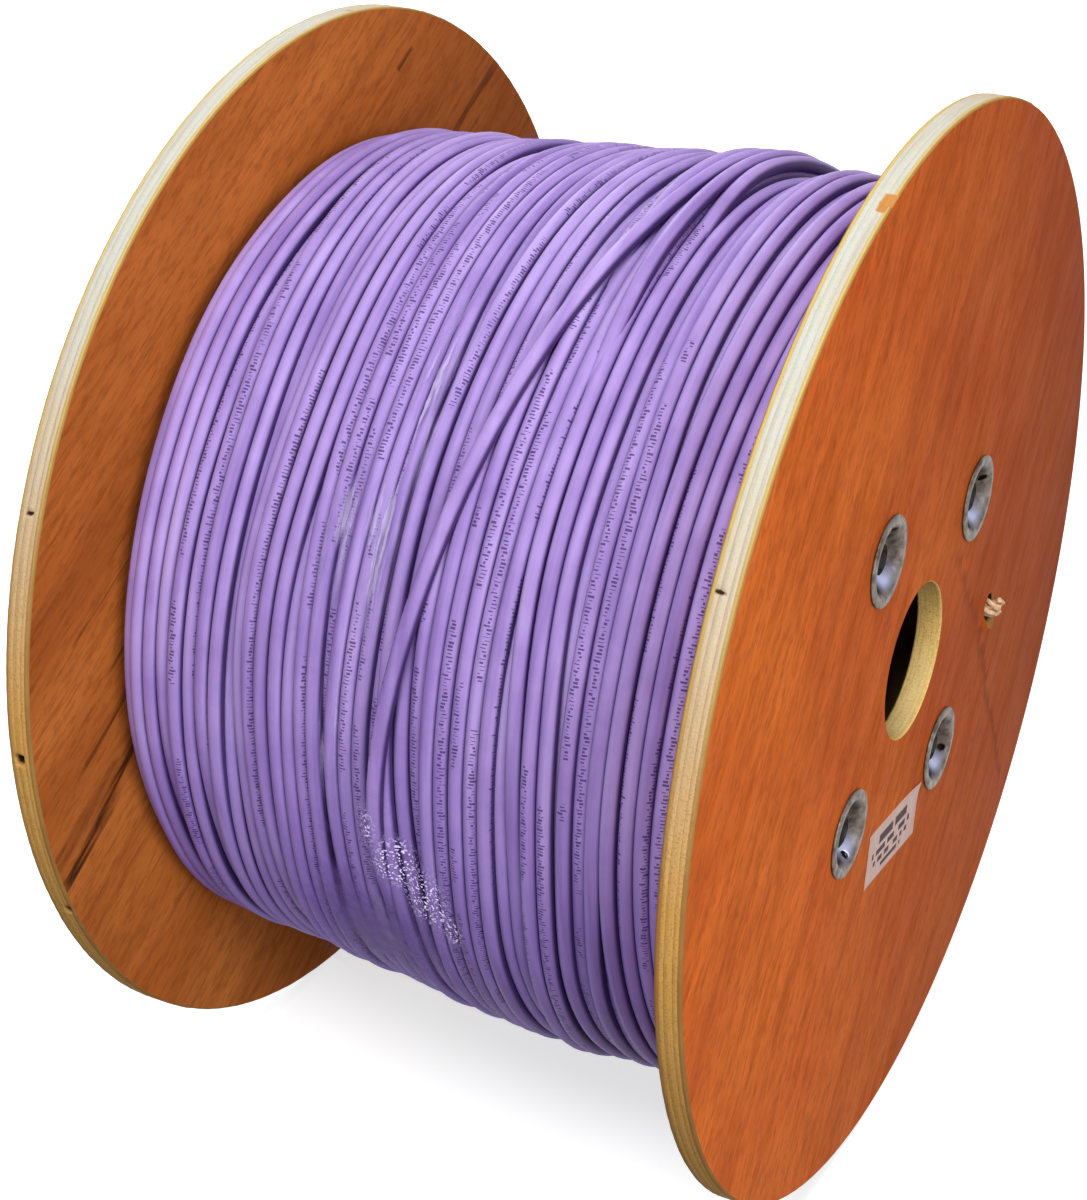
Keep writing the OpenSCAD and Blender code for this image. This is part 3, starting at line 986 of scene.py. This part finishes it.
top = np.tile(np.interp(film_x, *wound_profile) - cable_d / 2, (film_round, 1))
covered = list(zip(turns_place, turns_radius))
for rider_steps, place, radius in rider_paths:
    row_place, row_radius = np.full(steps, 2 * wall_x), np.zeros(steps)
    row_place[rider_steps % steps] = place
    row_radius[rider_steps % steps] = radius
    covered.append((row_place, row_radius))
for place, radius in covered:
    turn_x, turn_r = (
        np.interp(fine_step, np.arange(steps + 1), np.append(row, row[0]))[:, None]
        for row in (place, radius)
    )
    apart = np.abs(film_x[None, :] - turn_x)
    crest = turn_r + np.sqrt(np.maximum((cable_d / 2) ** 2 - apart ** 2, 0))
    top = np.where(apart < cable_d / 2, np.maximum(top, crest), top)
# The film spans from crest to crest, along the axis and round it
for reach, axis in ((4, 1), (8, 0)):
    for pick in (np.max, np.mean):
        top = pick([np.roll(top, shift, axis) for shift in range(-reach, reach + 1)], axis=0)


def near_spots(spots, degrees, place):
    """How far a place of the film belongs to one of the spots, 0 to 1."""
    best = 0.0
    for angle, spot_x, half_angle, half_x, strength in spots:
        turned = math.remainder(degrees - angle, 360) / half_angle
        best = max(best, strength * math.exp(-(turned ** 2 + ((place - spot_x) / half_x) ** 2)))
    return best


bm = bmesh.new()
film_spots = {"crinkle": crinkled, "painted_sheen": sheen_places, "milk": milky}
film_layers = [bm.verts.layers.float.new(name) for name in film_spots]
bmesh.ops.create_grid(bm, x_segments=film_round, y_segments=film_rows, size=1.0)
for vert in bm.verts:
    step = round((vert.co.x + 1) / 2 * film_round) % film_round
    row = round((vert.co.y + 1) / 2 * film_rows)
    degrees = step * 360 / film_round
    turn = math.radians(degrees)
    for layer, spots in zip(film_layers, film_spots.values()):
        vert[layer] = near_spots(spots, degrees, film_x[row])
    radius = top[step, row] + film_lift
    flat = (film_x[row], radius * math.cos(turn), radius * math.sin(turn))
    fold = [part * crinkle_fine for part in flat]
    crumpled = crinkle_least + max(vert[layer] for layer in film_layers[:2])
    radius += crinkle_height * crumpled * (1 + noise.noise(fold))
    vert.co = (film_x[row], radius * math.cos(turn), radius * math.sin(turn))
bmesh.ops.remove_doubles(bm, verts=bm.verts, dist=same_point)
bmesh.ops.recalc_face_normals(bm, faces=bm.faces)
for face in bm.faces:
    face.smooth = True

film_milk = (0.258, 0.150, 0.530, 1)
glint_white = (0.80, 0.73, 0.98, 1)
film_clear, film_cloud, film_glint = 0.03, 0.8, 0.8
film_finish, tree = new_finish("clear_film")
place = object_place(tree)
crinkle, sheen_share, milk = (mesh_value(tree, name) for name in film_spots)
# Painted highlights: white glints on the crinkles and pale sheen streaks whiten the film, make it more
# opaque and metallic.
slanted = mapped(tree, place, Rotation=(0, 0.6, 0.5), Scale=(1, 0.45, 1))
speck = add_node(tree, "ShaderNodeTexNoise", {"Vector": slanted, "Scale": 1250.0, "Detail": 1.0}).outputs[0]
sparse = spread(tree, crinkle, 0.1, 0.9, 0.0, 0.13)
speck = spread(tree, calc(tree, "SUBTRACT", speck, sparse), 0.44, 0.50)
glint = times(tree, speck, spread(tree, crinkle, 0.3, 0.8))
painted_sheen = spread(tree, stretched_noise(tree, place, (480, 32, 32), 3.0, 0.6), 0.46, 0.62)
painted_sheen = times(tree, painted_sheen, spread(tree, sheen_share, 0.1, 0.9, 0.0, 0.7))
glint = calc(tree, "MAXIMUM", glint, painted_sheen)
ragged = add_node(tree, "ShaderNodeTexNoise", {"Vector": place, "Scale": 120.0, "Detail": 3.0}).outputs[0]
ragged = times(tree, calc(tree, "SUBTRACT", ragged, 0.5), 0.9)
cloud = spread(tree, calc(tree, "ADD", milk, ragged), 0.1, 1.05)
opacity = calc(tree, "ADD", times(tree, cloud, film_cloud), film_clear)
opacity = calc(tree, "MAXIMUM", opacity, times(tree, glint, film_glint))
tone = blend_colour(tree, glint, film_milk, glint_white)
set_surface(tree, tone, 0.35, 0.03, Alpha=opacity, Metallic=times(tree, glint, 0.8))
film = add_piece("film_wrap", bm, film_finish)
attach(film, "root")
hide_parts("film_band")


# Start of the cable: its inner end comes out through the near flange, with the sheath stripped back.
# Four twisted pairs of pale insulated wires are cut short and fray upwards.
def add_wires(name, paths, thickness, material):
    """One mesh of round wires, each along a path of points."""
    curve = bpy.data.curves.new(name, "CURVE")
    curve.dimensions = "3D"
    curve.bevel_depth = thickness / 2
    curve.bevel_resolution = 3
    curve.use_fill_caps = True
    for path in paths:
        spline = curve.splines.new("POLY")
        spline.points.add(len(path) - 1)
        for point, place in zip(spline.points, path):
            point.co = (*place, 1)
        spline.use_smooth = True
    rig = bpy.data.objects.new(name, curve)
    bpy.context.scene.collection.objects.link(rig)
    bpy.context.view_layer.update()
    mesh = bpy.data.meshes.new_from_object(rig.evaluated_get(bpy.context.evaluated_depsgraph_get()))
    bpy.data.objects.remove(rig)
    mesh.materials.clear()
    mesh.materials.append(material)
    wires = bpy.data.objects.new(name, mesh)
    bpy.context.scene.collection.objects.link(wires)
    return wires


wire_d = 0.0020
wire_steps = 26
start_raise = -0.0005
pair_twist = 0.011
pair_offset = 0.0018
pair_loosened = 1.2
start_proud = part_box("cable_start")[1].x - face_x
# Where each pair ends: reach past the face, and its lean along Y and Z
pairs = (
    (0.60, 0.0012, 0.0050),
    (0.55, -0.0010, 0.0052),
    (0.62, 0.0024, 0.0026),
    (0.52, 0.0004, -0.0006),
)
wire_paths = []
for i, (reach, lean_y, lean_z) in enumerate(pairs):
    seat_y = start_middle[0] + pair_offset * math.cos(i * math.pi / 2)
    seat_z = start_middle[1] + pair_offset * math.sin(i * math.pi / 2) + start_raise
    wire_end = face_x + reach * start_proud - wire_d / 2
    for strand in (0, 1):
        path = []
        for step in range(wire_steps + 1):
            out = wall_x + step / wire_steps * (wire_end - wall_x)
            bend = max(0.0, (out - face_x) / start_proud) ** 2
            twist = 2 * math.pi * out / pair_twist + math.pi * strand + i
            apart = 0.5 * wire_d * (1 + pair_loosened * bend)
            path.append(Vector((out, seat_y + lean_y * bend + apart * math.cos(twist),
                                seat_z + lean_z * bend + apart * math.sin(twist))))
        wire_paths.append(path)

wire_pale = (0.84, 0.62, 0.42, 1)
wire_tan = (0.55, 0.30, 0.17, 1)
wire_finish, tree = new_finish("pale_insulation")
patches = mottled(tree, object_place(tree), 420.0, 3000.0)
set_surface(tree, blend_colour(tree, patches["Patches"], wire_pale, wire_tan), 0.6, 0.08)
start = add_wires("cable_start_pairs", wire_paths, wire_d, wire_finish)
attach(start, "root")
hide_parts("cable_start")


# Label: a small paper sticker on the near flange, stuck on a little askew, with a corner lifting.
# It is blank but for plain printed rules.
label_long, label_high, label_thick = 0.051, 0.0205, 0.00015
label_middle = sum(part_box("label"), Vector()) / 2
label_turn = math.radians(-7.6)
label_columns, label_rows = 26, 12
label_glue = 0.00012
corner_from, corner_over, corner_lift = 0.62, 0.38, 0.0009
edge_from, edge_over, edge_lift = 0.44, 0.06, 0.00025
bm = bmesh.new()
bm.loops.layers.uv.new("sheet")
bmesh.ops.create_grid(bm, x_segments=label_columns, y_segments=label_rows, size=0.5, calc_uvs=True)
for vert in bm.verts:
    corner = max(0.0, vert.co.x + vert.co.y - corner_from) / corner_over
    edge = max(0.0, -vert.co.x - edge_from) / edge_over
    lift = label_glue + corner_lift * corner ** 2 + edge_lift * edge ** 2
    vert.co = (lift, vert.co.x * label_long, vert.co.y * label_high)
bmesh.ops.recalc_face_normals(bm, faces=bm.faces)
bmesh.ops.solidify(bm, geom=list(bm.faces), thickness=label_thick)
bmesh.ops.recalc_face_normals(bm, faces=bm.faces)
seat = Matrix.Translation((face_x, label_middle.y, label_middle.z)) @ Matrix.Rotation(label_turn, 4, "X")
bmesh.ops.transform(bm, matrix=seat, verts=bm.verts)

paper_tone = (0.78, 0.53, 0.47, 1)
paper_faded = (0.86, 0.66, 0.60, 1)
rule_tone = (0.045, 0.022, 0.035, 1)
rule_pitch, rule_gaps, rule_share = 0.045, 0.2, 0.92
# Rules: place across the label, half height, start and end along it
rules = (
    (0.72, 0.085, 0.22, 0.78),
    (0.50, 0.055, 0.10, 0.86),
    (0.33, 0.050, 0.14, 0.82),
    (0.17, 0.040, 0.30, 0.70),
)
paper_finish, tree = new_finish("label_paper")
sheet = split(tree, add_node(tree, "ShaderNodeUVMap", uv_map="sheet").outputs[0])
patches = mottled(tree, object_place(tree), 120.0, 2500.0)
tone = blend_colour(tree, patches["Patches"], paper_tone, paper_faded)
for middle, half_high, rule_start, rule_end in rules:
    high = calc(tree, "COMPARE", sheet["Y"], middle, half_high)
    wide = calc(tree, "COMPARE", sheet["X"], (rule_start + rule_end) / 2, (rule_end - rule_start) / 2)
    gap = calc(tree, "GREATER_THAN", draw_for(tree, sheet["X"], rule_pitch, middle), rule_gaps)
    ink = times(tree, times(tree, high, wide), times(tree, gap, rule_share))
    tone = blend_colour(tree, ink, tone, rule_tone)
set_surface(tree, tone, 0.7, 0.08)
label = add_piece("paper_label", bm, paper_finish)
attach(label, "root")
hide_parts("label")
